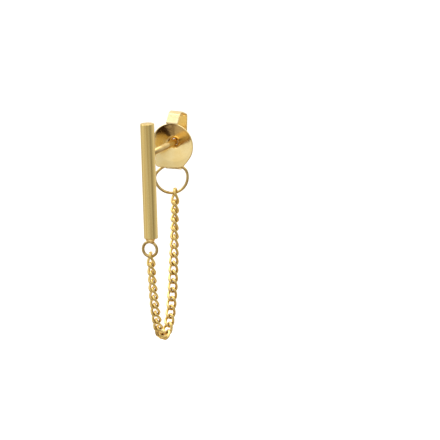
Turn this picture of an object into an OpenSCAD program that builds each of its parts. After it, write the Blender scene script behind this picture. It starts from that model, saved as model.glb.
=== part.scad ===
// Chain earring: a round bar on an ear post, a butterfly clutch, and a curb chain
// that hangs from the bar's lower end to a jump ring on the clutch.
// +Z is up, +Y goes back through the ear, and the origin is on the post's axis,
// midway between the bar's back and the clutch's plate, where the earlobe is.

/* [Bar] */
// Length of the bar
bar_l = 15; // [11:0.5:22]
// Diameter of the bar
bar_d = 1.8; // [1.4:0.1:2.6]
// Width of the small bevel at each end of the bar
bar_bevel = 0.08; // [0.02:0.02:0.2]
// Height of the bar's top above the post's axis
bar_rise = 4.1; // [2:0.1:5]

/* [Post] */
// Diameter of the ear post
post_d = 0.8; // [0.7:0.05:0.9]
// Length of the post behind the bar
post_l = 10.8; // [10.4:0.1:12]
// Width of the friction groove near the post's end
groove_w = 0.5; // [0.3:0.1:0.8]
// Depth of the friction groove
groove_depth = 0.08; // [0.04:0.02:0.12]

/* [Bar ring] */
// Outer diameter of the small ring under the bar
bar_ring_d = 2.3; // [2:0.1:3]
// Wire diameter of the small ring
bar_ring_wire = 0.38; // [0.3:0.02:0.42]
// Distance from the bar's end down to the ring's top
bar_ring_gap = 0.3; // [0.1:0.05:0.5]
// How far the ring stands to the left of the bar's axis
bar_ring_shift = 0.2; // [0:0.05:0.4]

/* [Clutch] */
// Free gap for the earlobe, from the bar's back to the plate's rim
ear_gap = 6.85; // [5:0.05:7.5]
// Diameter of the round plate
plate_d = 5.75; // [5.6:0.05:5.9]
// How far the plate's centre lies below the post's axis
plate_drop = 0.3; // [0:0.05:0.5]
// Thickness of the plate and of the wings' strip
strip_t = 0.2; // [0.18:0.01:0.26]
// Width of the wings' strip
strip_w = 1.6; // [1.2:0.1:2]
// Depth of the plate's dish at the post's hole
dish_depth = 1; // [0.7:0.05:1.1]
// Radial clearance of the post in its hole
hole_clear = 0.05; // [0.03:0.01:0.1]

/* [Clutch ring] */
// Diameter of the jump ring, between wire centres
ring_d = 4.3; // [3.6:0.05:4.6]
// Wire diameter of the jump ring
ring_wire = 0.36; // [0.3:0.02:0.4]
// Height of the ring's flattened top, as a share of a half circle's
ring_flat = 0.7; // [0.66:0.02:0.72]
// How far the flattened top leans to the left
ring_roll = 12; // [0:1:20]
// How far the ring turns its face to the right
ring_yaw = 13; // [0:1:20]

/* [Chain] */
// Number of links
link_count = 28; // [27:1:30]
// Distance from one link to the next
pitch = 1.14; // [1.12:0.01:1.16]
// How much longer the first link is
first_extra = 0.22; // [0:0.02:0.4]
// How much longer the last link is
last_extra = 0.38; // [0:0.02:0.5]
// Outer width of a link
link_w = 1.35; // [1.32:0.01:1.4]
// Wire diameter of a link
link_wire = 0.33; // [0.28:0.01:0.34]
// Room between the wires where one link pulls on the next
link_room = 0.1; // [0.08:0.01:0.14]
// Twist of a link's ends out of its middle plane
link_twist = 55; // [52:1:58]
// How far the hanging chain leans to the left
sway = 1; // [0:0.1:3]

/* [Hidden] */
LINKS = [for (i = [1 : link_count]) str("link_", i)];
$fn = 64;
gold = "#d9b65f";
pale_gold = "#e6cb85";

// Places along Y: the bar's axis, the plate's rim and the post's tip
bar_y = -ear_gap / 2 - bar_d / 2;
rim_y = ear_gap / 2;
tip_y = bar_y + bar_d / 2 + post_l;
bar_z = bar_rise - bar_l;

// The small ring under the bar
bar_ring_r = (bar_ring_d - bar_ring_wire) / 2;
bar_ring_z = bar_z - bar_ring_gap - bar_ring_d / 2;

// The solder from the ring's wire up to the bar's end. Columns are the radius and the height.
solder_top_r = 0.82 * bar_d / 2;
solder_low_r = 0.58 * bar_d / 2;
solder_sink = 0.1;
solder_low = bar_ring_z + bar_ring_r;
SOLDER = [[solder_low_r, solder_low], [1.15 * solder_low_r, solder_low + 0.6 * bar_ring_wire],
    [0.9 * solder_top_r, bar_z - 0.08], [solder_top_r, bar_z], [solder_top_r, bar_z + solder_sink]];

// The post's end: how far back its groove starts, and the cone at its tip
groove_back = 2.2;
tip_cone = 0.25;
tip_r = 0.55 * post_d / 2;

// The clutch's plate from the hole outwards. Columns are the radius and the depth behind the rim plane.
hole_r = post_d / 2 + hole_clear;
DISH = [[hole_r, dish_depth], [hole_r + 0.1, 0.86 * dish_depth], [0.85, 0.66 * dish_depth],
    [2.5, 0.12 * dish_depth], [3.3, 0], [4.2, -0.08]];
// The plate is cut to a round outline, squared off below where the lower wing folds back, most at
// the left. Columns are right and up from the plate's centre, as shares of its radius.
plate_r = plate_d / 2;
plate_cut = 4;
FOOT = [[-0.83, -0.6], [-0.84, -0.92], [-0.79, -1], [-0.7, -1.02], [0.3, -1.01], [0.5, -0.95], [0.72, -0.72]];

// The wings: the strip's middle line as turtle steps from a foot at the plate's rim, given by its
// distance behind the rim and its height. Columns are the step's length or the bend's radius, and
// the turn in degrees, 0 for straight.
upper_foot = [0.1, plate_r - plate_drop - 0.05];
upper_heading = 55;
UPPER = [[1.07, 0], [1, -75], [1.3, 0], [0.45, -70], [1.74, 0], [0.6, -90], [1.2, 0], [0.42, -210]];
lower_foot = [0.1, -plate_r - plate_drop - 0.11];
lower_heading = -14;
LOWER = [[1.45, 0], [1, 104], [1.54, 0], [0.55, 90], [0.75, 0], [0.36, 170]];
bend_step = 7.5;
upper_shift = 0.02;
lower_shift = -0.25;
upper_lean = 3;
lower_lean = 0.5;

// The clutch's ring: its centre, its arcs, and how far to the right the chain hangs in it
ring_r = ring_d / 2;
ring_centre = [-0.62, rim_y + 0.85, -4.58];
ring_lean = 3;
up_r = ring_r * ring_flat;
side_r = 0.52 * ring_r;
side_x = ring_r - side_r;
top_r = (pow(side_x, 2) + pow(up_r, 2) - pow(side_r, 2)) / (2 * (up_r - side_r));
top_hub = up_r - top_r;
side_turn = atan2(-top_hub, side_x);
ring_steps = 48;
ring_sides = 12;
chain_side = 0.5;

// The chain's two ends: the middle of the room between a ring's wire and the end link's
end_room = 0.14;
front_shift = 0.06;
chain_front = [front_shift - bar_ring_shift, bar_y,
    bar_ring_z - bar_ring_r + (bar_ring_wire + end_room) / 2];
chain_drop = sqrt(pow(ring_r, 2) - pow(chain_side, 2));
ring_low = ring_centre + [chain_side * cos(ring_yaw), chain_side * sin(ring_yaw) - chain_drop * sin(ring_lean),
    -chain_drop * cos(ring_lean)];
chain_back = ring_low + [0, 0, (ring_wire + end_room) / 2];

// The turn of the links' flat side along the chain: they lie nearly square to the loop's plane in
// the bend, and turn to cross the rings at both ends. Columns are the link and its turn in degrees.
TURN = [[1, 35], [3, 35], [7, 10], [17, 10], [21, -10], [25, -45], [28, -40]];
link_steps = 16;
link_sides = 6;
corner = 0.74;

// Inverse hyperbolic sine and tangent, and the hyperbolic sine
function asinh(x) = ln(x + sqrt(x * x + 1));
function atanh(x) = ln((1 + x) / (1 - x)) / 2;
function sinh(x) = (exp(x) - exp(-x)) / 2;

// The catenary's parameter for a span and the length left once its drop is taken off, by halving
function sag(span, len, low = 0.3, high = 60, tries = 50) = let (mid = (low + high) / 2)
    tries == 0 ? mid
    : 2 * mid * sinh(span / 2 / mid) > len ? sag(span, len, mid, high, tries - 1)
    : sag(span, len, low, mid, tries - 1);

// The chain's joints: the points where links meet, on a catenary from the front end to the back end
down = [-sin(sway), 0, -cos(sway)];
chain_vec = chain_back - chain_front;
chain_rise = -chain_vec * down;
chain_flat = chain_vec + chain_rise * down;
chain_span = norm(chain_flat);
chain_dir = chain_flat / chain_span;
chain_l = link_count * pitch + first_extra + last_extra;
chain_a = sag(chain_span, sqrt(pow(chain_l, 2) - pow(chain_rise, 2)));
low_at = chain_span / 2 - chain_a * atanh(chain_rise / chain_l);
arc_start = chain_a * sinh(-low_at / chain_a);
function chain_point(arc) = chain_front
    + (low_at + chain_a * asinh(arc / chain_a)) * chain_dir
    - (sqrt(pow(chain_a, 2) + arc * arc) - sqrt(pow(chain_a, 2) + pow(arc_start, 2))) * down;
JOINTS = [for (i = [0 : link_count]) chain_point(arc_start + i * pitch
    + (i > 0 ? first_extra : 0) + (i == link_count ? last_extra : 0))];
chain_side_dir = -cross(down, chain_dir);

// A link's frame: its width, the way out of its flat side, its length, and its centre
function link_frame(i) = let (
        along = JOINTS[i] - JOINTS[i - 1],
        t = along / norm(along),
        out = cross(t, chain_side_dir),
        turn = lookup(i, TURN),
        w = chain_side_dir * cos(turn) + out * sin(turn),
        n = cross(t, w),
        c = (JOINTS[i] + JOINTS[i - 1]) / 2
    ) [[w.x, n.x, t.x, c.x], [w.y, n.y, t.y, c.y], [w.z, n.z, t.z, c.z], [0, 0, 0, 1]];

// A twisted link's middle line, a loop whose ends turn out of its flat side both ways
function soften(v) = sign(v) * pow(abs(v), corner);
function link_line(a, l) = let (
        half_w = (link_w - link_wire) / 2,
        s = soften(sin(a)),
        c = soften(cos(a)),
        twist = -link_twist * s
    ) [half_w * c * cos(twist), half_w * c * sin(twist), l / 2 * s];

// The section of the wire at one place on a link of that length
function link_section(a, l) = let (
        p = link_line(a, l),
        run = link_line(a + 1, l) - link_line(a - 1, l),
        t = run / norm(run),
        spoke = p - t * (p * t),
        e = spoke / norm(spoke),
        f = cross(t, e)
    ) wire_section(p, e, f, link_wire, link_sides);

// A round wire's section about a point, in the plane of two directions square to the wire
function wire_section(p, e, f, d, sides) = [for (k = [0 : sides - 1]) let (q = 360 * (k + 0.5) / sides)
    p + d / 2 * (cos(q) * e + sin(q) * f)];

// The clutch ring's middle line is round below and flattened above, in arcs that meet smoothly.
// Each arc is its centre and radius, and the angle is that of the line's outward direction.
function ring_arc(a) = a > 180 ? [0, 0, ring_r]
    : a < side_turn ? [side_x, 0, side_r]
    : a < 180 - side_turn ? [0, top_hub, top_r]
    : [-side_x, 0, side_r];
function ring_section(a) = let (arc = ring_arc(a), out = [cos(a), sin(a), 0])
    wire_section([arc.x, arc.y, 0] + arc.z * out, out, [0, 0, 1], ring_wire, ring_sides);

// A flat strip's middle line from turtle steps: points of [along, up, heading]
function walk(p, heading, steps, i = 0) = i == len(steps) ? [[p.x, p.y, heading]]
    : let (size = steps[i][0], turn = steps[i][1])
        turn == 0
        ? concat([[p.x, p.y, heading]], walk(p + size * [cos(heading), sin(heading)], heading, steps, i + 1))
        : let (
            side = sign(turn),
            hub = p + size * side * [-sin(heading), cos(heading)],
            count = ceil(abs(turn) / bend_step),
            bend = [for (k = [0 : count - 1]) let (h = heading + turn * k / count)
                [hub.x + size * side * sin(h), hub.y - size * side * cos(h), h]],
            last = heading + turn,
            end = hub + size * side * [sin(last), -cos(last)]
        ) concat(bend, walk(end, last, steps, i + 1));
function strip_outline(line) = concat(
    [for (q = line) [q.x - strip_t / 2 * sin(q[2]), q.y + strip_t / 2 * cos(q[2])]],
    [for (k = [len(line) - 1 : -1 : 0]) let (q = line[k])
        [q.x + strip_t / 2 * sin(q[2]), q.y - strip_t / 2 * cos(q[2])]]);

module bar_post() {
    color(gold) union() {
        translate([0, bar_y, 0]) bar();
        post();
        bar_ring();
    }
}

module bar() {
    r = bar_d / 2;
    rotate_extrude() polygon([[0, bar_z], [r - bar_bevel, bar_z], [r, bar_z + bar_bevel],
        [r, bar_rise - bar_bevel], [r - bar_bevel, bar_rise], [0, bar_rise]]);
}

// The post lies along Y, and its tip is coned so that it enters the clutch
module post() {
    r = post_d / 2;
    groove_y = tip_y - groove_back;
    rotate([-90, 0, 0]) rotate_extrude() polygon([[0, bar_y], [r, bar_y], [r, groove_y],
        [r - groove_depth, groove_y + groove_depth], [r - groove_depth, groove_y + groove_w - groove_depth],
        [r, groove_y + groove_w], [r, tip_y - tip_cone], [tip_r, tip_y], [0, tip_y]]);
}

// The small ring with the solder that joins it to the bar's end
module bar_ring() {
    translate([-bar_ring_shift, bar_y, bar_ring_z]) rotate([90, 0, 0]) rotate_extrude()
        translate([bar_ring_r, 0]) circle(d = bar_ring_wire);
    translate([-bar_ring_shift / 2, bar_y, 0]) rotate_extrude()
        polygon(concat([[0, solder_low]], SOLDER, [[0, bar_z + solder_sink]]));
}

module clutch() {
    color(pale_gold) union() {
        difference() {
            plate();
            rotate([-90, 0, 0]) cylinder(r = hole_r, h = tip_y);
        }
        wing(upper_foot, upper_heading, UPPER, upper_shift, upper_lean);
        wing(lower_foot, lower_heading, LOWER, lower_shift, lower_lean);
    }
}

// The dish is centred on the post and cut to an outline about the plate's own centre
module plate() {
    intersection() {
        translate([0, rim_y, 0]) rotate([-90, 0, 0]) rotate_extrude() polygon(concat(
            DISH, [for (k = [len(DISH) - 1 : -1 : 0]) DISH[k] + [0, strip_t]]));
        translate([0, rim_y, -plate_drop]) rotate([90, 0, 0]) linear_extrude(plate_cut, center = true) union() {
            circle(r = plate_r);
            polygon(plate_r * FOOT);
        }
    }
}

// Each wing leans a little to its side, about its foot on the plate
module wing(foot, heading, steps, shift, lean) {
    translate([shift, rim_y + foot.x, foot.y]) rotate([0, lean, 0])
        translate([strip_w / 2, 0, 0]) rotate([90, 0, -90]) mirror([1, 0, 0])
            linear_extrude(strip_w) polygon(strip_outline(walk([0, 0], heading, steps)));
}

module clutch_ring() {
    color(gold) translate(ring_centre) rotate([-ring_lean, 0, 0]) rotate([0, 0, ring_yaw])
        rotate([0, -ring_roll, 0]) rotate([90, 0, 0])
            loop([for (k = [0 : ring_steps - 1]) ring_section(360 * (k + 0.5) / ring_steps)]);
}

module link(i) {
    line_l = norm(JOINTS[i] - JOINTS[i - 1]) + link_wire + link_room;
    color(gold) multmatrix(link_frame(i))
        loop([for (k = [0 : link_steps - 1]) link_section(360 * (k + 0.5) / link_steps, line_l)]);
}

// A closed wire through its sections in turn
module loop(sections) {
    steps = len(sections);
    sides = len(sections[0]);
    polyhedron(
        [for (section = sections) each section],
        [for (k = [0 : steps - 1], j = [0 : sides - 1]) let (
            next = (k + 1) % steps * sides,
            up = (j + 1) % sides
        ) [k * sides + j, next + j, next + up, k * sides + up]]);
}

bar_post();
clutch();
clutch_ring();
for (i = [1 : link_count]) link(i);
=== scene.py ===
"""Chain earring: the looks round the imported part, with its studio and camera.

Sizes are in millimetres in the part's own frame: +Z up, +Y back through the ear, and the origin
on the ear post's axis in the middle of the earlobe's gap. Each sub-assembly is a class that
builds its meshes and dresses them, and every piece rides on the part's one body.
"""

import logging
import math
from abc import ABC, abstractmethod
from dataclasses import dataclass
from enum import Enum

import bmesh
import bpy
import numpy as np
from mathutils import Matrix, Vector

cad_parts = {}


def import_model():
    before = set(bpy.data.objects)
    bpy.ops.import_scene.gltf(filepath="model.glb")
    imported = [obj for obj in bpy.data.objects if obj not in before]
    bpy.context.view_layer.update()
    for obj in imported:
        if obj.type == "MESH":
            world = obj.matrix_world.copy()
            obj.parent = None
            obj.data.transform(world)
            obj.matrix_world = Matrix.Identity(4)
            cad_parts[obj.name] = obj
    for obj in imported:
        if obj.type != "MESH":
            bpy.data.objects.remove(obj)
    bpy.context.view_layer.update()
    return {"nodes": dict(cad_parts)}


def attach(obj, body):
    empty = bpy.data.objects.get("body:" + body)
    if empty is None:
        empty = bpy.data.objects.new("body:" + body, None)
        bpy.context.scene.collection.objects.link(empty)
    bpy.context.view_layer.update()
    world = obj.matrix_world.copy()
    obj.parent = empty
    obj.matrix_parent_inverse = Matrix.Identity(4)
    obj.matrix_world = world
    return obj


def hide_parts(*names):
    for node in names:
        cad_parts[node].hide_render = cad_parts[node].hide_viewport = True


LOG = logging.getLogger("chain_earring")
MM = 0.001
BODY = "root"

Point = tuple[float, float, float]
Station = tuple[float, float]
Span = tuple[float, float]
Shell = tuple[np.ndarray, list[tuple[int, ...]]]

# The places along Y that several pieces share
EAR_GAP = 6.85
BAR_D = 1.8
BAR_Y = -EAR_GAP / 2 - BAR_D / 2
RIM_Y = EAR_GAP / 2

# A turned outline ends this far from its axis, where a cap closes it
AXIS_R = 0.02
# The most of an edge that the round of one corner may take
ROUND_SHARE = 0.48
# The support points beside a round: this share of its reach away, up to the limit
SUPPORT_SHARE = 0.35
SUPPORT_LIMIT = 0.02


class Slot(Enum):
    """The record's material slots."""

    BAR = "bar_gold"
    CLUTCH = "clutch_gold"
    RING = "ring_gold"
    CHAIN = "chain_gold"


def linear(hex_colour: str) -> tuple[float, float, float, float]:
    """Turns an sRGB hex colour into linear values.

    Args:
        hex_colour: The colour as "#rrggbb".

    Returns:
        Linear red, green and blue, and an alpha of 1.
    """
    shares = [int(hex_colour[i : i + 2], 16) / 255 for i in (1, 3, 5)]
    values = [c / 12.92 if c <= 0.04045 else ((c + 0.055) / 1.055) ** 2.4 for c in shares]
    return values[0], values[1], values[2], 1.0


def add_node(
    tree: bpy.types.NodeTree, kind: str, links: dict | None = None, **settings: object
) -> bpy.types.Node:
    """Adds one node with its settings and its links.

    Args:
        tree: The tree that the node goes into.
        kind: Blender's name for the node's type.
        links: For an input's name or number, the output socket or the value that it takes.
        settings: The node's own properties.

    Returns:
        The new node.
    """
    node = tree.nodes.new(kind)
    for key, value in settings.items():
        setattr(node, key, value)
    for key, value in (links or {}).items():
        if isinstance(value, bpy.types.NodeSocket):
            tree.links.new(value, node.inputs[key])
        else:
            node.inputs[key].default_value = value
    return node


@dataclass(frozen=True)
class GoldPlate:
    """Polished gold plate: a warm metal whose tone clouds a little, and which keeps the fine
    lines of the tool that polished it.

    Its colour is that of the metal face on, and the edge tint is what it turns to at a low angle.
    """

    name: str
    colour: str = "#f7da88"
    cloud_colour: str = "#efce7c"
    edge_tint: str = "#fff6e6"
    roughness: float = 0.16
    roughness_spread: float = 0.08
    cloud_mm: Point = (1.6, 1.6, 1.6)
    # Real tool lines are a few hundredths of a millimetre apart, and are drawn coarser to show
    line_mm: Point = (0.12, 0.12, 0.12)
    line_depth_mm: float = 0.0006
    # Painted shade: where ambient occlusion finds the surface hidden within this distance, the colour
    # darkens to this one
    recess_shade_colour: str = ""
    recess_shade_mm: float = 0.3
    # The stretch of each pattern's values over which the tone, the gloss or the painted recess shade changes
    cloud_span: Span = (0.35, 0.65)
    line_span: Span = (0.3, 0.7)
    recess_shade_span: Span = (0.2, 0.65)

    def make(self) -> bpy.types.Material:
        """Builds the material's nodes.

        Returns:
            The material.
        """
        material = bpy.data.materials.new(self.name)
        material.use_nodes = True
        tree = material.node_tree
        shader = tree.nodes["Principled BSDF"]
        shader.inputs["Metallic"].default_value = 1.0
        shader.inputs["Specular Tint"].default_value = linear(self.edge_tint)
        place = add_node(tree, "ShaderNodeTexCoord").outputs["Object"]
        in_mm = add_node(tree, "ShaderNodeMapping", {"Vector": place, "Scale": (1 / MM,) * 3}).outputs[0]
        patterns = []
        # Size, layers and fineness of the noise: first the clouds, then the tool's lines
        for size_mm, layers, fineness in ((self.cloud_mm, 3.0, 0.55), (self.line_mm, 4.0, 0.6)):
            links = {"Vector": in_mm, "Scale": tuple(1 / size for size in size_mm)}
            stretched = add_node(tree, "ShaderNodeMapping", links).outputs[0]
            links = {"Vector": stretched, "Scale": 1.0, "Detail": layers, "Roughness": fineness}
            patterns.append(add_node(tree, "ShaderNodeTexNoise", links).outputs["Fac"])
        clouds, lines = patterns
        ramp = add_node(tree, "ShaderNodeValToRGB", {"Fac": clouds})
        tones = (self.cloud_colour, self.colour)
        for element, position, tone in zip(ramp.color_ramp.elements, self.cloud_span, tones):
            element.position = position
            element.color = linear(tone)
        base = ramp.outputs["Color"]
        # Painted shade darkens the recesses, standing in for the shade that falls between parts
        if self.recess_shade_colour:
            base = self.painted_recess_shade(tree, base)
        tree.links.new(base, shader.inputs["Base Color"])
        links = {
            "Value": lines,
            "From Min": self.line_span[0],
            "From Max": self.line_span[1],
            "To Min": self.roughness,
            "To Max": self.roughness + self.roughness_spread,
        }
        gloss = add_node(tree, "ShaderNodeMapRange", links)
        tree.links.new(gloss.outputs["Result"], shader.inputs["Roughness"])
        links = {"Height": lines, "Strength": 1.0, "Distance": self.line_depth_mm * MM}
        relief = add_node(tree, "ShaderNodeBump", links)
        tree.links.new(relief.outputs["Normal"], shader.inputs["Normal"])
        return material

    def painted_recess_shade(self, tree: bpy.types.NodeTree, base: bpy.types.NodeSocket) -> bpy.types.NodeSocket:
        """Paints shade into the recesses: darkens the colour where ambient occlusion finds the surface
        hidden.

        Args:
            tree: The material's node tree.
            base: The polished colour.

        Returns:
            The colour with the painted shade in the recesses.
        """
        links = {"Distance": self.recess_shade_mm * MM}
        open_share = add_node(tree, "ShaderNodeAmbientOcclusion", links, samples=8).outputs["AO"]
        start, end = self.recess_shade_span
        links = {"Value": open_share, "From Min": start, "From Max": end}
        reached = add_node(tree, "ShaderNodeMapRange", links).outputs["Result"]
        links = {0: reached, 6: linear(self.recess_shade_colour), 7: base}
        return add_node(tree, "ShaderNodeMix", links, data_type="RGBA").outputs[2]


# Drawn lengthwise, so its lines run along Z and it reflects in upright bands
DRAWN_BAR = GoldPlate(
    "drawn_polished_gold_plate",
    colour="#f7de94",
    cloud_colour="#d6b56d",
    roughness=0.23,
    roughness_spread=0.1,
    cloud_mm=(0.22, 0.22, 30.0),
    line_mm=(0.07, 0.07, 6.0),
    line_depth_mm=0.001,
)
# Turned on a lathe before plating, so its lines run round Y
TURNED_POST = GoldPlate(
    "turned_gold_plate",
    colour="#e2c385",
    cloud_colour="#d4b16e",
    roughness=0.14,
    line_mm=(0.5, 0.06, 0.5),
)
# Flowed solder, plated over: soft and bright, with no tool lines
SOLDERED_NECK = GoldPlate(
    "gold_plated_solder",
    colour="#ffe6a2",
    cloud_colour="#fbd88c",
    roughness=0.28,
    line_mm=(0.3, 0.3, 0.3),
)
# Stamped from bright sheet and barrel polished, the glossiest of them. Its lines are the sheet's
# slight waves, which break up what it mirrors.
STAMPED_PLATE = GoldPlate(
    "barrel_polished_gold_plate",
    colour="#f8e0a2",
    cloud_colour="#f2d590",
    roughness=0.12,
    roughness_spread=0.05,
    line_mm=(0.8, 0.8, 0.8),
    line_depth_mm=0.012,
)
# The same stamping where it was bent, with the thin flash plating that gives a paler gold
BENT_WINGS = GoldPlate(
    "flash_plated_pale_gold",
    colour="#f4e1ae",
    cloud_colour="#eed69c",
    roughness=0.14,
    line_mm=(0.3, 0.3, 0.3),
)
# Round drawn wire, tumbled bright after it was bent, with no lines that run one way
TUMBLED_RING = GoldPlate(
    "tumbled_gold_plate",
    colour="#d3b97c",
    cloud_colour="#c1a468",
    roughness=0.12,
    line_mm=(0.25, 0.25, 0.25),
)
# The links tumbled together: bright outside, with painted shade darkening the recesses between them
TUMBLED_CHAIN = GoldPlate(
    "tumbled_chain_gold_plate",
    colour="#f6da8c",
    cloud_colour="#eccb7c",
    roughness=0.13,
    cloud_mm=(1.1, 1.1, 1.1),
    # Painted shade: the colour that the recesses between the links darken to
    recess_shade_colour="#9c7b41",
)


def placed(name: str, data: bpy.types.ID) -> bpy.types.Object:
    """Makes an object and links it to the scene.

    Args:
        name: The object's name.
        data: Its mesh, light or camera.

    Returns:
        The object.
    """
    holder = bpy.data.objects.new(name, data)
    bpy.context.scene.collection.objects.link(holder)
    return holder


def mesh_object(name: str, shell: Shell) -> bpy.types.Object:
    """Makes a smooth mesh object at the origin.

    Args:
        name: The object's name.
        shell: Its points in millimetres, and the point numbers of each face.

    Returns:
        The object, with its normals outwards.
    """
    points, faces = shell
    mesh = bpy.data.meshes.new(name)
    mesh.from_pydata((np.asarray(points, float) * MM).tolist(), [], faces)
    shape = bmesh.new()
    shape.from_mesh(mesh)
    bmesh.ops.recalc_face_normals(shape, faces=shape.faces)
    shape.to_mesh(mesh)
    shape.free()
    mesh.shade_smooth()
    return placed(name, mesh)


def skin(rings: np.ndarray, closed: bool) -> Shell:
    """Joins rings of points into a closed shell.

    Args:
        rings: Ring by ring, the points round each ring.
        closed: True if the last ring joins the first one, and False to cap both ends.

    Returns:
        The points and the faces.
    """
    count, sides = rings.shape[:2]
    points = rings.reshape(-1, 3)
    faces = []
    for k in range(count if closed else count - 1):
        here, there = k * sides, (k + 1) % count * sides
        for j in range(sides):
            up = (j + 1) % sides
            faces.append((here + j, there + j, there + up, here + up))
    if not closed:
        points = np.vstack([points, rings[0].mean(0), rings[-1].mean(0)])
        for hub, base in ((len(points) - 2, 0), (len(points) - 1, (count - 1) * sides)):
            faces += [(hub, base + j, base + (j + 1) % sides) for j in range(sides)]
    return points, faces


def merge(*shells: Shell) -> Shell:
    """Puts several shells into one list of points and faces.

    Args:
        shells: The shells, each its points and faces.

    Returns:
        All the points and all the faces.
    """
    points, faces, start = [], [], 0
    for some_points, some_faces in shells:
        points.append(some_points)
        faces += [tuple(start + i for i in face) for face in some_faces]
        start += len(some_points)
    return np.vstack(points), faces


def rounded(corners: list[Point], steps: int = 5) -> list[Station]:
    """Rounds the corners of an open outline, with a support point before and after each round.

    Args:
        corners: Each corner's two coordinates and the radius of its round, 0 for a sharp one.
            The first and the last one are sharp.
        steps: How many pieces a round has.

    Returns:
        The outline's points.
    """
    places = [np.array(corner[:2], float) for corner in corners]
    out: list[Station] = []
    for i, (first, second, radius) in enumerate(corners):
        if radius == 0:
            out.append((first, second))
            continue
        p = places[i]
        before, after = places[i - 1] - p, places[i + 1] - p
        length_before, length_after = np.linalg.norm(before), np.linalg.norm(after)
        before, after = before / length_before, after / length_after
        half = math.acos(max(-1.0, min(1.0, float(before @ after)))) / 2
        reach = min(radius / math.tan(half), ROUND_SHARE * length_before, ROUND_SHARE * length_after)
        fitted = reach * math.tan(half)
        middle = (before + after) / np.linalg.norm(before + after) * fitted / math.sin(half)
        start, end = before * reach - middle, after * reach - middle
        turn = math.copysign(math.pi - 2 * half, start[0] * end[1] - start[1] * end[0])
        support = min(SUPPORT_SHARE * reach, SUPPORT_LIMIT)
        out.append(tuple(p + before * (reach + support)))
        for k in range(steps + 1):
            a = turn * k / steps
            spoke = (
                start[0] * math.cos(a) - start[1] * math.sin(a),
                start[0] * math.sin(a) + start[1] * math.cos(a),
            )
            out.append(tuple(p + middle + spoke))
        out.append(tuple(p + after * (reach + support)))
    return out


def moved(points: np.ndarray, place: Matrix) -> np.ndarray:
    """Takes points to their place, both in millimetres."""
    return points @ np.array(place.to_3x3()).T + np.array(place.translation)


def lathe(outline: list[Station], sides: int, place: Matrix) -> Shell:
    """Turns an outline round its axis.

    Args:
        outline: Radius and height of each point, from one end of the piece to the other.
        sides: How many sides the round has.
        place: Takes a point whose height is along Z to its place, in millimetres.

    Returns:
        The points and the faces of the closed solid.
    """
    angles = 2 * np.pi * np.arange(sides) / sides
    rings = np.array([[(r * math.cos(a), r * math.sin(a), h) for a in angles] for r, h in outline])
    return skin(moved(rings, place), closed=False)


def wire_loop(
    middle: np.ndarray, out_ways: np.ndarray, side_way: np.ndarray, diameter: float, sides: int
) -> Shell:
    """Sweeps a round wire along a flat closed line.

    Args:
        middle: The points of the line.
        out_ways: At each point, the unit direction that points out of the loop.
        side_way: The unit direction square to the loop.
        diameter: The wire's diameter.
        sides: How many sides the wire has.

    Returns:
        The points and the faces.
    """
    angles = 2 * np.pi * np.arange(sides) / sides
    rings = [
        [p + diameter / 2 * (math.cos(a) * way + math.sin(a) * side_way) for a in angles]
        for p, way in zip(middle, out_ways)
    ]
    return skin(np.array(rings), closed=True)


@dataclass
class SubAssembly(ABC):
    """A part of the earring that is dressed by itself."""

    @abstractmethod
    def build(self) -> list[bpy.types.Object]:
        """Makes and dresses the sub-assembly's pieces.

        Returns:
            The pieces.
        """

    def dress(
        self, piece: bpy.types.Object, finish: bpy.types.Material, slot: Slot, nodes: list[str]
    ) -> bpy.types.Object:
        """Gives a piece its finish and its place in the frame.

        Args:
            piece: The mesh object.
            finish: Its material.
            slot: The record's material slot that it stands for. Not used.
            nodes: The solids that it replaces.

        Returns:
            The piece.
        """
        piece.data.materials.clear()
        piece.data.materials.append(finish)
        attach(piece, BODY)
        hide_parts(*nodes)
        LOG.info("%s: %d faces, for %s", piece.name, len(piece.data.polygons), ", ".join(nodes[:3]))
        return piece


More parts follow.
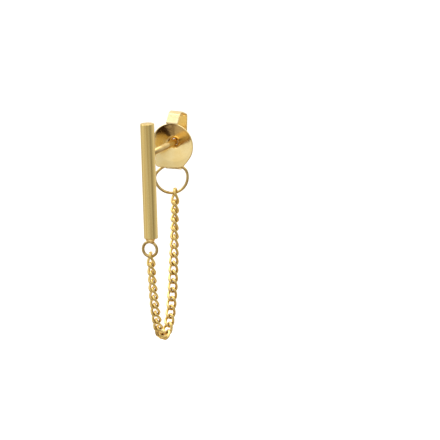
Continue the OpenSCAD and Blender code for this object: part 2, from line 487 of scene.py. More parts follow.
@dataclass
class BarAndPost(SubAssembly):
    """The round bar with the ear post at its back and the small ring under its lower end."""

    bar_l: float = 15.0
    bar_rise: float = 4.1
    bar_bevel: float = 0.09
    bar_sides: int = 96
    post_d: float = 0.8
    post_l: float = 10.8
    post_sides: int = 48
    groove_w: float = 0.5
    groove_depth: float = 0.08
    groove_from_tip: float = 2.2
    groove_round: float = 0.06
    tip_l: float = 0.25
    tip_share: float = 0.55
    tip_rounds: Station = (0.12, 0.1)
    ring_d: float = 2.3
    ring_wire: float = 0.38
    ring_gap: float = 0.3
    ring_shift: float = 0.2
    ring_steps: int = 72
    ring_sides: int = 24
    solder_top: float = 0.82
    solder_low: float = 0.58
    solder_sides: int = 48

    def build(self) -> list[bpy.types.Object]:
        """Makes the bar, the post, the small ring and the solder that holds it.

        Returns:
            The pieces.
        """
        shells = (
            ("bar", self.bar(), DRAWN_BAR),
            ("ear_post", self.post(), TURNED_POST),
            ("bar_ring", self.ring(), TUMBLED_RING),
            ("solder", self.solder(), SOLDERED_NECK),
        )
        return [
            self.dress(mesh_object(name, shell), finish.make(), Slot.BAR, ["bar_post"])
            for name, shell, finish in shells
        ]

    def bar(self) -> Shell:
        """Turns the bar with a small rounded bevel at each end.

        Returns:
            The points and the faces.
        """
        r, low, top, bevel = BAR_D / 2, self.bar_end(), self.bar_rise, self.bar_bevel
        outline = rounded([(AXIS_R, low, 0), (r, low, bevel), (r, top, bevel), (AXIS_R, top, 0)])
        return lathe(outline, self.bar_sides, Matrix.Translation((0, BAR_Y, 0)))

    def post(self) -> Shell:
        """Turns the post with its friction groove and its coned tip.

        Returns:
            The points and the faces.
        """
        r, depth, soft = self.post_d / 2, self.groove_depth, self.groove_round
        shoulder, nose = self.tip_rounds
        tip = -EAR_GAP / 2 + self.post_l
        groove = tip - self.groove_from_tip
        # Radius, distance back and the corner's round, from the bar to the tip
        corners = [
            (r, BAR_Y, 0),
            (r, groove, soft),
            (r - depth, groove + depth, soft),
            (r - depth, groove + self.groove_w - depth, soft),
            (r, groove + self.groove_w, soft),
            (r, tip - self.tip_l, shoulder),
            (self.tip_share * r, tip, nose),
            (AXIS_R, tip, 0),
        ]
        return lathe(rounded(corners, steps=4), self.post_sides, Matrix.Rotation(math.radians(-90), 4, "X"))

    def ring(self) -> Shell:
        """Sweeps the small ring.

        Returns:
            The points and the faces.
        """
        centre = np.array([-self.ring_shift, BAR_Y, self.bar_end() - self.ring_gap - self.ring_d / 2])
        angles = 2 * np.pi * np.arange(self.ring_steps) / self.ring_steps
        out = np.stack([np.cos(angles), 0 * angles, np.sin(angles)], -1)
        middle = centre + (self.ring_d - self.ring_wire) / 2 * out
        return wire_loop(middle, out, np.array([0.0, 1.0, 0.0]), self.ring_wire, self.ring_sides)

    def bar_end(self) -> float:
        """Gives the height of the bar's lower end."""
        return self.bar_rise - self.bar_l

    def solder(self) -> Shell:
        """Turns the solder that holds the small ring to the bar.

        Returns:
            The points and the faces.
        """
        bar_z = self.bar_end()
        low = bar_z - self.ring_gap - self.ring_wire / 2
        r_top, r_low = self.solder_top * BAR_D / 2, self.solder_low * BAR_D / 2
        # Radius, height and the corner's round, from inside the ring up into the bar
        corners = [
            (AXIS_R, low - 0.05, 0),
            (0.6 * r_low, low - 0.04, 0.1),
            (r_low, low + 0.06, 0.12),
            (1.02 * r_low, low + 0.5 * self.ring_wire, 0.15),
            (0.5 * (r_low + r_top), bar_z - 0.12, 0.12),
            (r_top, bar_z - 0.02, 0.04),
            (r_top, bar_z + 0.1, 0),
            (AXIS_R, bar_z + 0.1, 0),
        ]
        place = Matrix.Translation((-self.ring_shift / 2, BAR_Y, 0))
        return lathe(rounded(corners), self.solder_sides, place)


@dataclass
class Strip:
    """A flat strip bent along a line of steps, from its foot on the plate.

    A step is a length and no turn, or a bend's radius and its turn in degrees.
    """

    foot: Station
    heading: float
    steps: tuple[Station, ...]
    shift: float
    lean: float
    width: float = 1.6
    thick: float = 0.2
    edge: float = 0.07
    bend_step: float = 3.0
    # Where a straight step has its sections, as shares of its length
    stops: tuple[float, ...] = (0.15, 0.5, 0.85)
    # The free end's round: how far ahead each section is, and how much of the strip is left there
    end_round: tuple[Station, ...] = ((0.02, 0.97), (0.05, 0.86), (0.06, 0.7))

    def line(self) -> list[Point]:
        """Walks the strip's middle line.

        Returns:
            For each point, how far it is back, how far up, and the heading in degrees.
        """
        p, heading = np.zeros(2), self.heading
        points = [(0.0, 0.0, heading)]
        for size, turn in self.steps:
            if turn == 0:
                way = np.array([math.cos(math.radians(heading)), math.sin(math.radians(heading))])
                for share in self.stops:
                    points.append((*(p + share * size * way), heading))
                p = p + size * way
            else:
                side = math.copysign(1.0, turn)
                h = math.radians(heading)
                hub = p + size * side * np.array([-math.sin(h), math.cos(h)])
                count = math.ceil(abs(turn) / self.bend_step)
                for k in range(1, count):
                    h = math.radians(heading + turn * k / count)
                    y, z = hub[0] + size * side * math.sin(h), hub[1] - size * side * math.cos(h)
                    points.append((y, z, math.degrees(h)))
                heading += turn
                h = math.radians(heading)
                p = hub + size * side * np.array([math.sin(h), -math.cos(h)])
            points.append((p[0], p[1], heading))
        return points

    def section(self) -> list[Station]:
        """Outlines the strip's section.

        Returns:
            For each point, how far it is across the strip and how far out of its face.
        """
        w, t, e = self.width / 2, self.thick / 2, self.edge
        corners = [(-w, 0.0, 0), (-w, -t, e), (w, -t, e), (w, t, e), (-w, t, e), (-w, 0.0, 0)]
        return rounded(corners, steps=3)[:-1]

    def skin(self) -> Shell:
        """Sweeps the section along the line, with the free end slightly rounded.

        Returns:
            The points and the faces, in the part's frame.
        """
        line = self.line()
        y, z, heading = line[-1]
        h = math.radians(heading)
        rings = [self.ring_at(*q, 1.0) for q in line]
        for ahead, scale in self.end_round:
            rings.append(self.ring_at(y + ahead * math.cos(h), z + ahead * math.sin(h), heading, scale))
        points, faces = skin(np.array(rings), closed=False)
        turn = math.radians(self.lean)
        x, up = points[:, 0].copy(), points[:, 2].copy()
        points[:, 0] = x * math.cos(turn) + up * math.sin(turn) + self.shift
        points[:, 2] = -x * math.sin(turn) + up * math.cos(turn) + self.foot[1]
        points[:, 1] += RIM_Y + self.foot[0]
        return points, faces

    def ring_at(self, y: float, z: float, heading: float, scale: float) -> list[Point]:
        """Places the section at one point of the line.

        Args:
            y: How far back the point is.
            z: How far up the point is.
            heading: The line's heading there, in degrees.
            scale: How much of the strip's thickness is left there.

        Returns:
            The section's points.
        """
        h = math.radians(heading)
        edge_in = (1 - scale) * self.thick / 2
        return [
            (x - math.copysign(edge_in, x), y - out * scale * math.sin(h), z + out * scale * math.cos(h))
            for x, out in self.section()
        ]


@dataclass
class ButterflyClutch(SubAssembly):
    """The clutch: a dished round plate with a hole, and two wings that curl in to the post."""

    plate_d: float = 5.75
    plate_drop: float = 0.3
    plate_sides: int = 192
    plate_rings: int = 34
    ring_margin: float = 0.02
    thick: float = 0.2
    hole_r: float = 0.45
    edge: float = 0.06
    edge_share: float = 0.3
    corner_passes: int = 4
    dish_steps: int = 400
    dish_blend: int = 18
    # Distance from the post's axis, and depth behind the rim
    dish: tuple[Station, ...] = (
        (0.45, 1.0),
        (0.55, 0.86),
        (0.85, 0.66),
        (2.5, 0.12),
        (3.3, 0.0),
        (4.2, -0.08),
    )
    # The corners of the squared lower edge, right and up from the plate's middle, in its radii
    foot: tuple[Station, ...] = (
        (-0.83, -0.6),
        (-0.84, -0.92),
        (-0.79, -1.0),
        (-0.7, -1.02),
        (0.3, -1.01),
        (0.5, -0.95),
        (0.72, -0.72),
    )
    # How far behind the rim the wings begin, and how far over its round the upper and the lower one
    wing_back: float = 0.1
    wing_lifts: Station = (-0.05, -0.11)

    def wings(self) -> list[Strip]:
        """Lists the upper and the lower wing.

        Returns:
            The two strips.
        """
        r, drop = self.plate_d / 2, self.plate_drop
        upper_lift, lower_lift = self.wing_lifts
        upper = ((1.07, 0), (1, -75), (1.3, 0), (0.45, -70), (1.74, 0), (0.6, -90), (1.2, 0), (0.42, -210))
        lower = ((1.45, 0), (1, 104), (1.54, 0), (0.55, 90), (0.75, 0), (0.36, 170))
        return [
            Strip((self.wing_back, r - drop + upper_lift), 55, upper, shift=0.02, lean=3),
            Strip((self.wing_back, -r - drop + lower_lift), -14, lower, shift=-0.25, lean=0.5),
        ]

    def build(self) -> list[bpy.types.Object]:
        """Makes the plate and the two wings that are bent from the same stamping.

        Returns:
            The pieces.
        """
        plate = mesh_object("clutch_plate", self.plate())
        wings = mesh_object("clutch_wings", merge(*(wing.skin() for wing in self.wings())))
        return [
            self.dress(plate, STAMPED_PLATE.make(), Slot.CLUTCH, ["clutch"]),
            self.dress(wings, BENT_WINGS.make(), Slot.CLUTCH, ["clutch"]),
        ]

    def depth(self, radii: np.ndarray) -> np.ndarray:
        """Works out the dish's depth behind the rim, with its kinks smoothed away.

        Args:
            radii: Distances from the post's axis.

        Returns:
            The depth at each distance.
        """
        fine = np.linspace(self.hole_r, self.dish[-1][0], self.dish_steps)
        raw = np.interp(fine, *zip(*self.dish))
        weights = np.hanning(2 * self.dish_blend + 1)
        padded = np.pad(raw, self.dish_blend, mode="reflect", reflect_type="odd")
        return np.interp(radii, fine, np.convolve(padded, weights / weights.sum(), mode="valid"))

    def reach(self, angle: float) -> float:
        """Measures from the post's axis to the plate's outline.

        Args:
            angle: The direction, from +X towards +Z, in radians.

        Returns:
            The distance.
        """
        r = self.plate_d / 2
        way = np.array([math.cos(angle), math.sin(angle)])
        centre = np.array([0.0, -self.plate_drop])
        along = float(way @ centre)
        best = along + math.sqrt(along * along - float(centre @ centre) + r * r)
        corners = [np.array(c) * r + centre for c in self.foot]
        for a, b in zip(corners, corners[1:]):
            edge = b - a
            cross = way[0] * edge[1] - way[1] * edge[0]
            if math.isclose(cross, 0.0, abs_tol=1e-9):
                continue
            distance = (a[0] * edge[1] - a[1] * edge[0]) / cross
            share = (a[0] * way[1] - a[1] * way[0]) / cross
            if 0 <= share <= 1 and distance > best:
                best = distance
        return best

    def plate(self) -> Shell:
        """Builds the dished plate with rounded rim and hole.

        Returns:
            The points and the faces.
        """
        angles = 2 * np.pi * np.arange(self.plate_sides) / self.plate_sides
        reaches = np.array([self.reach(a) for a in angles])
        # Each pass blends a point of the outline with its neighbours, which softens the corners
        for _ in range(self.corner_passes):
            reaches = np.convolve(np.pad(reaches, 1, mode="wrap"), (0.25, 0.5, 0.25), mode="valid")
        shares = np.linspace(self.ring_margin, 1 - self.ring_margin, self.plate_rings)
        inner, bulge = self.hole_r, self.edge * self.edge_share
        half = [(0.0, self.edge), (bulge, bulge), (self.edge, 0.0)]
        rows = []
        for a, far in zip(angles, reaches):
            run = far - inner - 2 * self.edge
            front = [(inner + d, back) for d, back in half]
            front += [(inner + self.edge + run * s, 0.0) for s in shares]
            front += [(far - d, back) for d, back in reversed(half)]
            behind = [(r, self.thick - back) for r, back in reversed(front)]
            outline = np.array(front + behind)
            r = outline[:, 0]
            y = RIM_Y + self.depth(r) + outline[:, 1]
            rows.append(np.stack([r * math.cos(a), y, r * math.sin(a)], -1))
        return skin(np.array(rows), closed=True)


@dataclass
class ClutchRing(SubAssembly):
    """The large jump ring that hangs in the clutch's lower wing, flattened at its top."""

    ring_d: float = 4.3
    wire: float = 0.36
    flat: float = 0.7
    side_share: float = 0.52
    roll: float = 12.0
    yaw: float = 13.0
    lean: float = 3.0
    centre: Point = (-0.62, RIM_Y + 0.85, -4.58)
    steps: int = 120
    sides: int = 24

    def build(self) -> list[bpy.types.Object]:
        """Makes the jump ring."""
        piece = mesh_object("jump_ring", self.loop())
        return [self.dress(piece, TUMBLED_RING.make(), Slot.RING, ["clutch_ring"])]

    def loop(self) -> Shell:
        """Sweeps the wire round below and along the flattened arcs above.

        Returns:
            The points and the faces, in the part's frame.
        """
        ring_r = self.ring_d / 2
        up_r, side_r = ring_r * self.flat, ring_r * self.side_share
        side_x = ring_r - side_r
        top_r = (side_x**2 + up_r**2 - side_r**2) / (2 * (up_r - side_r))
        hub = up_r - top_r
        side_turn = math.degrees(math.atan2(-hub, side_x))
        middle, out_ways = [], []
        for k in range(self.steps):
            a = 360 * (k + 0.5) / self.steps
            if a > 180:
                x, y, r = 0.0, 0.0, ring_r
            elif a < side_turn:
                x, y, r = side_x, 0.0, side_r
            elif a < 180 - side_turn:
                x, y, r = 0.0, hub, top_r
            else:
                x, y, r = -side_x, 0.0, side_r
            out = np.array([math.cos(math.radians(a)), math.sin(math.radians(a)), 0.0])
            middle.append(np.array([x, y, 0.0]) + r * out)
            out_ways.append(out)
        square = np.array([0.0, 0.0, 1.0])
        points, faces = wire_loop(np.array(middle), np.array(out_ways), square, self.wire, self.sides)
        place = (
            Matrix.Translation(self.centre)
            @ Matrix.Rotation(math.radians(-self.lean), 4, "X")
            @ Matrix.Rotation(math.radians(self.yaw), 4, "Z")
            @ Matrix.Rotation(math.radians(-self.roll), 4, "Y")
            @ Matrix.Rotation(math.radians(90), 4, "X")
        )
        return moved(points, place), faces


# What the link tree takes from its modifier, and the type of each input
LINK_INPUTS = {
    "Places": "NodeSocketGeometry",
    "Wire Diameter": "NodeSocketFloat",
    "Link Width": "NodeSocketFloat",
    "Link Length": "NodeSocketFloat",
    "End Twist": "NodeSocketFloat",
    "Squareness": "NodeSocketFloat",
    "Steps": "NodeSocketInt",
    "Sides": "NodeSocketInt",
    "Metal": "NodeSocketMaterial",
}
# What it reads from the points. It stores the side itself: 1 at a link's far end, -1 at its near end
LINK_ATTRIBUTES = {"along": "FLOAT_VECTOR", "across": "FLOAT_VECTOR", "longer": "FLOAT", "side": "FLOAT"}
# Each sum's name, its operation, and the numbers, inputs, attributes or earlier sums in it
LINK_SUMS = (
    ("placed", "ADD", "index", 0.5),
    ("turned", "MULTIPLY", "placed", math.tau),
    ("angle", "DIVIDE", "turned", "Steps"),
    ("sine", "SINE", "angle"),
    ("sine size", "ABSOLUTE", "sine"),
    ("squared sine", "POWER", "sine size", "Squareness"),
    ("sine sign", "SIGN", "sine"),
    ("rise", "MULTIPLY", "sine sign", "squared sine"),
    ("cosine", "COSINE", "angle"),
    ("cosine size", "ABSOLUTE", "cosine"),
    ("squared cosine", "POWER", "cosine size", "Squareness"),
    ("cosine sign", "SIGN", "cosine"),
    ("swing", "MULTIPLY", "cosine sign", "squared cosine"),
    ("middle width", "SUBTRACT", "Link Width", "Wire Diameter"),
    ("half width", "MULTIPLY", "middle width", 0.5),
    ("out", "MULTIPLY", "half width", "swing"),
    ("twist", "MULTIPLY", "End Twist", "rise"),
    ("twist cosine", "COSINE", "twist"),
    ("twist sine", "SINE", "twist"),
    ("X", "MULTIPLY", "out", "twist cosine"),
    ("Y", "MULTIPLY", "out", "twist sine"),
    ("half length", "MULTIPLY", "Link Length", 0.5),
    ("Z", "MULTIPLY", "half length", "rise"),
    ("wire radius", "MULTIPLY", "Wire Diameter", 0.5),
    ("half longer", "MULTIPLY", "longer", 0.5),
    ("stretch", "MULTIPLY", "half longer", "side"),
)


@dataclass
class LinkTree:
    """The Geometry Nodes tree that puts one twisted wire link on each point of a mesh."""

    name: str = "twisted_links"

    def make(self) -> bpy.types.NodeTree:
        """Builds the tree.

        Returns:
            The node group, with a named input for each of the link's sizes.
        """
        tree = bpy.data.node_groups.new(self.name, "GeometryNodeTree")
        for name, kind in LINK_INPUTS.items():
            tree.interface.new_socket(name, in_out="INPUT", socket_type=kind)
        tree.interface.new_socket("Links", in_out="OUTPUT", socket_type="NodeSocketGeometry")
        known = {socket.name: socket for socket in add_node(tree, "NodeGroupInput").outputs}
        known["index"] = add_node(tree, "GeometryNodeInputIndex").outputs[0]
        for name, kind in LINK_ATTRIBUTES.items():
            read = add_node(tree, "GeometryNodeInputNamedAttribute", {"Name": name}, data_type=kind)
            known[name] = read.outputs[0]
        for name, operation, *values in LINK_SUMS:
            links = {i: known[value] if isinstance(value, str) else value for i, value in enumerate(values)}
            known[name] = add_node(tree, "ShaderNodeMath", links, operation=operation).outputs[0]
        add_node(tree, "NodeGroupOutput", {"Links": self.strung(tree, known)})
        return tree

    def strung(
        self, tree: bpy.types.NodeTree, known: dict[str, bpy.types.NodeSocket]
    ) -> bpy.types.NodeSocket:
        """Bends one link of wire, puts it on every point and stretches the longer ones.

        Args:
            tree: The node group.
            known: The group's inputs, the attributes and the sums, by name.

        Returns:
            The links' geometry.
        """
        axes = {axis: known[axis] for axis in "XYZ"}
        spot = add_node(tree, "ShaderNodeCombineXYZ", axes).outputs[0]
        links = {"Resolution": known["Steps"]}
        circle = add_node(tree, "GeometryNodeCurvePrimitiveCircle", links).outputs["Curve"]
        links = {"Geometry": circle, "Position": spot}
        loop = add_node(tree, "GeometryNodeSetPosition", links).outputs[0]
        links = {"Geometry": loop, "Name": "side", "Value": known["rise"]}
        loop = add_node(tree, "GeometryNodeStoreNamedAttribute", links).outputs[0]
        links = {"Resolution": known["Sides"], "Radius": known["wire radius"]}
        wire = add_node(tree, "GeometryNodeCurvePrimitiveCircle", links).outputs["Curve"]
        links = {"Curve": loop, "Profile Curve": wire}
        link = add_node(tree, "GeometryNodeCurveToMesh", links).outputs[0]
        smooth = add_node(tree, "GeometryNodeSetShadeSmooth", {"Geometry": link}).outputs[0]
        links = {"Primary Axis": known["along"], "Secondary Axis": known["across"]}
        facing = add_node(
            tree, "FunctionNodeAxesToRotation", links, primary_axis="Z", secondary_axis="X"
        ).outputs[0]
        links = {"Points": known["Places"], "Instance": smooth, "Rotation": facing}
        hung = add_node(tree, "GeometryNodeInstanceOnPoints", links).outputs[0]
        real = add_node(tree, "GeometryNodeRealizeInstances", {"Geometry": hung}).outputs[0]
        links = {0: known["along"], "Scale": known["stretch"]}
        stretch = add_node(tree, "ShaderNodeVectorMath", links, operation="SCALE").outputs["Vector"]
        links = {"Geometry": real, "Offset": stretch}
        drawn = add_node(tree, "GeometryNodeSetPosition", links).outputs[0]
        links = {"Geometry": drawn, "Material": known["Metal"]}
        return add_node(tree, "GeometryNodeSetMaterial", links).outputs[0]


@dataclass
class HangingPath:
    """The catenary that the chain hangs in, from the bar's ring to the clutch's ring."""

    front: np.ndarray
    back: np.ndarray
    count: int
    pitch: float
    first_extra: float
    last_extra: float
    sway: float
    # The least and the greatest size of the curve, and how often that range is halved
    sizes: Span = (0.3, 60.0)
    halvings: int = 50

    def joints(self) -> np.ndarray:
        """Finds the places where the links meet.

        Returns:
            One more point than there are links, one pitch apart but for the longer end links.
        """
        down, ahead = self.down(), self.ahead()
        rise = -float((self.back - self.front) @ down)
        span = float(np.linalg.norm(self.level()))
        length = self.count * self.pitch + self.first_extra + self.last_extra
        low, high = self.sizes
        for _ in range(self.halvings):
            a = (low + high) / 2
            if 2 * a * math.sinh(span / 2 / a) > math.sqrt(length**2 - rise**2):
                low = a
            else:
                high = a
        a = (low + high) / 2
        lowest = span / 2 - a * math.atanh(rise / length)
        start = a * math.sinh(-lowest / a)
        points = []
        for i in range(self.count + 1):
            arc = start + i * self.pitch
            arc += (self.first_extra if i > 0 else 0) + (self.last_extra if i == self.count else 0)
            fall = math.hypot(a, arc) - math.hypot(a, start)
            points.append(self.front + (lowest + a * math.asinh(arc / a)) * ahead - fall * down)
        return np.array(points)

    def down(self) -> np.ndarray:
        """Points down the hanging chain, which leans a little to the left."""
        return np.array([-math.sin(math.radians(self.sway)), 0.0, -math.cos(math.radians(self.sway))])

    def level(self) -> np.ndarray:
        """Measures the way from the front end to the back one, square to the way down."""
        run = self.back - self.front
        return run - float(run @ self.down()) * self.down()

    def ahead(self) -> np.ndarray:
        """Points level from the front end towards the back one."""
        return self.level() / float(np.linalg.norm(self.level()))


@dataclass
class CurbChain(SubAssembly):
    """The fine curb chain: twisted links of round wire, strung by Geometry Nodes."""

    count: int = 28
    pitch: float = 1.14
    first_extra: float = 0.22
    last_extra: float = 0.38
    link_w: float = 1.35
    wire: float = 0.36
    room: float = 0.1
    twist: float = -55.0
    corner: float = 0.74
    sway: float = 1.0
    end_room: float = 0.14
    front_shift: float = 0.06
    chain_side: float = 0.5
    steps: int = 32
    sides: int = 12
    # A link's number, and how far it is turned round the chain in degrees
    turns: tuple[Station, ...] = ((1, 35), (3, 35), (7, 10), (17, 10), (21, -10), (25, -45), (28, -40))

    def build(self) -> list[bpy.types.Object]:
        """Strings the links and turns them into one plain mesh.

        Returns:
            The chain.
        """
        gold = TUMBLED_CHAIN.make()
        piece = self.string_links(gold)
        return [self.dress(piece, gold, Slot.CHAIN, [f"link_{i}" for i in range(1, self.count + 1)])]

    def path(self) -> HangingPath:
        """Hangs the chain between the two rings.

        Returns:
            The curve that it hangs in.
        """
        bar, ring = BarAndPost(), ClutchRing()
        bar_ring_r = (bar.ring_d - bar.ring_wire) / 2
        bar_ring_z = bar.bar_end() - bar.ring_gap - bar.ring_d / 2
        front_z = bar_ring_z - bar_ring_r + (bar.ring_wire + self.end_room) / 2
        front = np.array([self.front_shift - bar.ring_shift, BAR_Y, front_z])
        side = self.chain_side
        drop = math.sqrt((ring.ring_d / 2) ** 2 - side**2)
        yaw, lean = math.radians(ring.yaw), math.radians(ring.lean)
        back = np.array(ring.centre) + np.array(
            [
                side * math.cos(yaw),
                side * math.sin(yaw) - drop * math.sin(lean),
                -drop * math.cos(lean) + (ring.wire + self.end_room) / 2,
            ]
        )
        return HangingPath(front, back, self.count, self.pitch, self.first_extra, self.last_extra, self.sway)

    def places(self) -> bpy.types.Object:
        """Makes one point for each link, with the attributes that the link tree reads.

        Returns:
            The object that holds the points.
        """
        path = self.path()
        joints = path.joints()
        middles = (joints[1:] + joints[:-1]) / 2
        along = joints[1:] - joints[:-1]
        chords = np.linalg.norm(along, axis=1)
        along /= chords[:, None]
        sideways = -np.cross(path.down(), path.ahead())
        outwards = np.cross(along, sideways)
        turns = np.radians(np.interp(np.arange(1, self.count + 1), *zip(*self.turns)))[:, None]
        across = sideways * np.cos(turns) + outwards * np.sin(turns)
        mesh = bpy.data.meshes.new("chain_places")
        mesh.from_pydata((middles * MM).tolist(), [], [])
        for name, vectors in (("along", along), ("across", across)):
            attribute = mesh.attributes.new(name, "FLOAT_VECTOR", "POINT")
            attribute.data.foreach_set("vector", vectors.ravel())
        longer = mesh.attributes.new("longer", "FLOAT", "POINT")
        longer.data.foreach_set("value", (chords - self.pitch) * MM)
        return placed("chain_places", mesh)

    def string_links(self, gold: bpy.types.Material) -> bpy.types.Object:
        """Runs the link tree on the links' places.

        Args:
            gold: The links' material.

        Returns:
            The chain as a plain mesh object.
        """
        places = self.places()
        tree = LinkTree().make()
        modifier = places.modifiers.new("links", "NODES")
        modifier.node_group = tree
        values = {
            "Wire Diameter": self.wire * MM,
            "Link Width": self.link_w * MM,
            "Link Length": (self.pitch + self.wire + self.room) * MM,
            "End Twist": math.radians(self.twist),
            "Squareness": self.corner,
            "Steps": self.steps,
            "Sides": self.sides,
            "Metal": gold,
        }
        for item in tree.interface.items_tree:
            if item.name in values:
                modifier[item.identifier] = values[item.name]
        places.update_tag()
        evaluated = places.evaluated_get(bpy.context.evaluated_depsgraph_get())
        chain_mesh = bpy.data.meshes.new_from_object(evaluated)
        chain_mesh.name = "curb_chain"
        for name in LINK_ATTRIBUTES:
            chain_mesh.attributes.remove(chain_mesh.attributes[name])
        places.modifiers.remove(modifier)
        bpy.data.objects.remove(places)
        return placed("curb_chain", chain_mesh)


def direction(azimuth: float, elevation: float) -> Vector:
    """Points from the earring to a place round it.

    Args:
        azimuth: 0 is in front of the bar, and 90 to the right of it, in degrees.
        elevation: Degrees above the horizon.

    Returns:
        The unit direction.
    """
    a, e = math.radians(azimuth), math.radians(elevation)
    return Vector((math.sin(a) * math.cos(e), -math.cos(a) * math.cos(e), math.sin(e)))


# What the softboxes aim at, near the earring's middle
LIT_POINT = (0.0, 0.0, -8.0)


@dataclass
class SoftBox:
    """A studio softbox aimed at the earring. Its radiance is what a mirror shows of it."""

    name: str
    azimuth: float
    elevation: float
    width_mm: float
    height_mm: float
    radiance: float
    distance_mm: float = 400.0

    def place(self) -> None:
        """Adds the area light to the scene."""
        light = bpy.data.lights.new(self.name, "AREA")
        light.shape = "RECTANGLE"
        light.size, light.size_y = self.width_mm * MM, self.height_mm * MM
        light.energy = self.radiance * math.pi * light.size * light.size_y
        holder = placed(self.name, light)
        way = direction(self.azimuth, self.elevation)
        holder.location = Vector(LIT_POINT) * MM + way * self.distance_mm * MM
        holder.rotation_euler = way.to_track_quat("Z", "Y").to_euler()


@dataclass(frozen=True)
class DarkBand:
    """A dark stretch of the room that the polished metal mirrors, in degrees round and up."""

    azimuths: Span
    elevations: Span
    softness: Station
    colour: str

    def over(
        self,
        tree: bpy.types.NodeTree,
        room: bpy.types.NodeSocket,
        azimuth: bpy.types.NodeSocket,
        elevation: bpy.types.NodeSocket,
    ) -> bpy.types.NodeSocket:
        """Lays the band over the room.

        Args:
            tree: The world's node tree.
            room: The room's colour without it.
            azimuth: The azimuth of each direction, in degrees.
            elevation: The elevation of each direction, in degrees.

        Returns:
            The room's colour with it.
        """
        windows = {}
        ways = ((azimuth, self.azimuths), (elevation, self.elevations))
        for i, ((value, span), soft) in enumerate(zip(ways, self.softness)):
            # A smooth window: the step at its start less the step at its end
            steps = {}
            for j, edge in enumerate(span):
                links = {"Value": value, "From Min": edge - soft / 2, "From Max": edge + soft / 2}
                step = add_node(tree, "ShaderNodeMapRange", links, interpolation_type="SMOOTHSTEP")
                steps[j] = step.outputs["Result"]
            windows[i] = add_node(tree, "ShaderNodeMath", steps, operation="SUBTRACT").outputs[0]
        inside = add_node(tree, "ShaderNodeMath", windows, operation="MULTIPLY").outputs[0]
        links = {0: inside, 6: room, 7: linear(self.colour)}
        return add_node(tree, "ShaderNodeMix", links, data_type="RGBA").outputs[2]


@dataclass
class Room:
    """The room round the earring, which its polished metal mirrors.

    The belt is the room's brightness round the horizon. Under it lies the darker ground, then the
    pale floor right below, and over it the bright ceiling. Each edge is a span of elevations.
    """

    strength: float = 1.25
    # Azimuth in degrees, and the belt's brightness there
    belt: tuple[Station, ...] = (
        (-180, 0.85),
        (-88, 0.6),
        (-48, 0.78),
        (-20, 0.62),
        (26, 0.51),
        (50, 0.44),
        (66, 0.33),
        (77, 0.24),
        (88, 0.38),
        (102, 0.54),
        (120, 0.6),
        (180, 0.85),
    )
    ground: str = "#ab9c8a"
    ground_edge: Span = (-24.0, -16.0)
    floor: str = "#ece8e0"
    floor_edge: Span = (-72.0, -48.0)
    ceiling: str = "#f7f7f7"
    ceiling_edge: Span = (5.0, 55.0)
    # Azimuths, elevations, how soft the band is round and up, and its colour
    bands: tuple[DarkBand, ...] = (
        DarkBand((-38, -10), (-44, -23), (8, 3), "#321705"),
        DarkBand((-14, 9), (-47, -21), (6, 6), "#241005"),
        DarkBand((48, 76), (3, 30), (10, 8), "#3a2817"),
    )

    def tone(self, tree: bpy.types.NodeTree) -> bpy.types.NodeSocket:
        """Adds the nodes that give the room's brightness in each direction.

        Args:
            tree: The world's node tree.

        Returns:
            The brightness, before the strength.
        """
        way = add_node(tree, "ShaderNodeTexCoord").outputs["Generated"]
        known = dict(zip("xyz", add_node(tree, "ShaderNodeSeparateXYZ", {0: way}).outputs))
        # Each sum's name, its operation, and the numbers or earlier sums in it
        for name, operation, *values in (
            ("to the front", "MULTIPLY", "y", -1.0),
            ("turn", "ARCTAN2", "x", "to the front"),
            ("azimuth", "DEGREES", "turn"),
            ("rise", "ARCSINE", "z"),
            ("elevation", "DEGREES", "rise"),
            ("from the back", "ADD", "azimuth", 180.0),
            ("share", "DIVIDE", "from the back", 360.0),
        ):
            links = {i: known[value] if isinstance(value, str) else value for i, value in enumerate(values)}
            known[name] = add_node(tree, "ShaderNodeMath", links, operation=operation).outputs[0]
        ramp = add_node(tree, "ShaderNodeValToRGB", {"Fac": known["share"]})
        elements = ramp.color_ramp.elements
        while len(elements) < len(self.belt):
            elements.new(0.5)
        for element, (at, tone) in zip(elements, self.belt):
            element.position = (at + 180) / 360
            element.color = (tone, tone, tone, 1.0)
        room = ramp.outputs["Color"]
        # Each edge with the colour under it and over it, None for the room so far
        for (start, end), under, over in (
            (self.ground_edge, self.ground, None),
            (self.floor_edge, self.floor, None),
            (self.ceiling_edge, None, self.ceiling),
        ):
            links = {"Value": known["elevation"], "From Min": start, "From Max": end}
            step = add_node(tree, "ShaderNodeMapRange", links, interpolation_type="SMOOTHSTEP")
            links = {0: step.outputs["Result"]}
            for socket, colour in ((6, under), (7, over)):
                links[socket] = linear(colour) if colour else room
            room = add_node(tree, "ShaderNodeMix", links, data_type="RGBA").outputs[2]
        for band in self.bands:
            room = band.over(tree, room, known["azimuth"], known["elevation"])
        return room


@dataclass(frozen=True)
class WhitePaper:
    """Matt white paper for the floor: pale all over, with no shine."""

    name: str = "white_paper_floor"
    colour: str = "#fbfaf8"
    roughness: float = 0.8

    def make(self) -> bpy.types.Material:
        """Builds the material.

        Returns:
            The material.
        """
        material = bpy.data.materials.new(self.name)
        material.use_nodes = True
        shader = material.node_tree.nodes["Principled BSDF"]
        shader.inputs["Roughness"].default_value = self.roughness
        shader.inputs["Specular IOR Level"].default_value = 0.0
        shader.inputs["Base Color"].default_value = linear(self.colour)
        return material


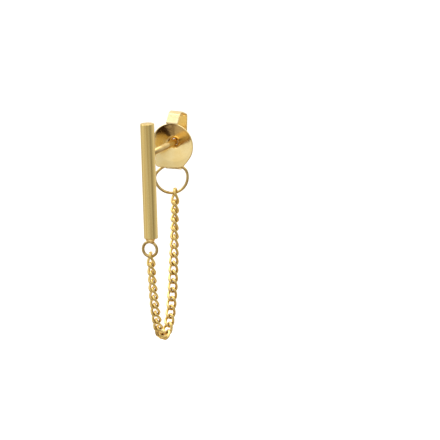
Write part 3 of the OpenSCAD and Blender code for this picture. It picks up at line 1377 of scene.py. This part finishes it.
@dataclass
class Studio:
    """The pale floor, the soft light and the camera at the photograph's angle."""

    floor_z: float = -60.0
    floor_size: float = 6000.0
    light_colour: str = "#f6f6f6"
    light_strength: float = 1.15
    softboxes: tuple[SoftBox, ...] = (
        SoftBox("key_softbox", azimuth=-72, elevation=46, width_mm=260, height_mm=200, radiance=2.2),
        SoftBox("top_softbox", azimuth=30, elevation=80, width_mm=300, height_mm=300, radiance=1.6),
    )
    azimuth: float = 23.0
    elevation: float = 12.0
    roll: float = 1.85
    px_per_mm: float = 7.82
    image_px: int = 440
    # Where the ear post's level meets the bar's axis in the photograph
    anchor_px: Station = (148.2, 155.0)
    lens_mm: float = 600.0
    sensor_mm: float = 36.0
    clip_m: Span = (0.05, 20.0)

    def build(self) -> None:
        """Sets up the floor, the surroundings, the softboxes and the camera."""
        self.floor()
        self.surroundings()
        for box in self.softboxes:
            box.place()
        self.camera()
        bpy.context.scene.view_settings.view_transform = "Standard"

    def floor(self) -> None:
        """Lays the plain pale floor, which the metal doesn't mirror."""
        half, z = self.floor_size / 2 * MM, self.floor_z * MM
        corners = [(-half, -half, z), (half, -half, z), (half, half, z), (-half, half, z)]
        mesh = bpy.data.meshes.new("floor")
        mesh.from_pydata(corners, [], [(0, 1, 2, 3)])
        mesh.materials.append(WhitePaper().make())
        floor = placed("floor", mesh)
        floor.visible_glossy = False

    def surroundings(self) -> None:
        """Fills the room with soft even light, and gives the metal alone the room to mirror."""
        world = bpy.data.worlds.new("studio_room")
        bpy.context.scene.world = world
        world.use_nodes = True
        tree = world.node_tree
        even = tree.nodes["Background"]
        even.inputs["Color"].default_value = linear(self.light_colour)
        even.inputs["Strength"].default_value = self.light_strength
        room = Room()
        links = {"Color": room.tone(tree), "Strength": room.strength}
        mirrored = add_node(tree, "ShaderNodeBackground", links)
        glossy = add_node(tree, "ShaderNodeLightPath").outputs["Is Glossy Ray"]
        links = {0: glossy, 1: even.outputs[0], 2: mirrored.outputs[0]}
        mixed = add_node(tree, "ShaderNodeMixShader", links)
        tree.links.new(mixed.outputs[0], tree.nodes["World Output"].inputs["Surface"])

    def camera(self) -> None:
        """Aims a long lens so that the earring lies in the picture as in the photograph."""
        back = direction(self.azimuth, self.elevation)
        level = Vector((math.cos(math.radians(self.azimuth)), math.sin(math.radians(self.azimuth)), 0.0))
        upright = back.cross(level)
        roll = math.radians(self.roll)
        right = level * math.cos(roll) - upright * math.sin(roll)
        up = level * math.sin(roll) + upright * math.cos(roll)
        u = (self.image_px / 2 - self.anchor_px[0]) / self.px_per_mm
        v = (self.anchor_px[1] - self.image_px / 2) / self.px_per_mm
        target = (Vector((0, BAR_Y, 0)) + right * u + up * v) * MM
        distance = self.lens_mm / self.sensor_mm * self.image_px / self.px_per_mm * MM
        data = bpy.data.cameras.new("camera")
        data.lens, data.sensor_width = self.lens_mm, self.sensor_mm
        data.clip_start, data.clip_end = self.clip_m
        camera = placed("camera", data)
        camera.rotation_euler = Matrix((right, up, back)).transposed().to_euler()
        camera.location = target + back * distance
        bpy.context.scene.camera = camera


def main(frame: dict) -> None:
    """Builds the studio and every sub-assembly.

    Args:
        frame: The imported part.
    """
    LOG.info("%d solids in the frame", len(frame["nodes"]))
    Studio().build()
    for assembly in (BarAndPost(), ButterflyClutch(), ClutchRing(), CurbChain()):
        for piece in assembly.build():
            LOG.info("built %s", piece.name)


if __name__ == "__main__":
    logging.basicConfig(level=logging.INFO, format="%(name)s: %(message)s")
    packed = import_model()
    main(packed)
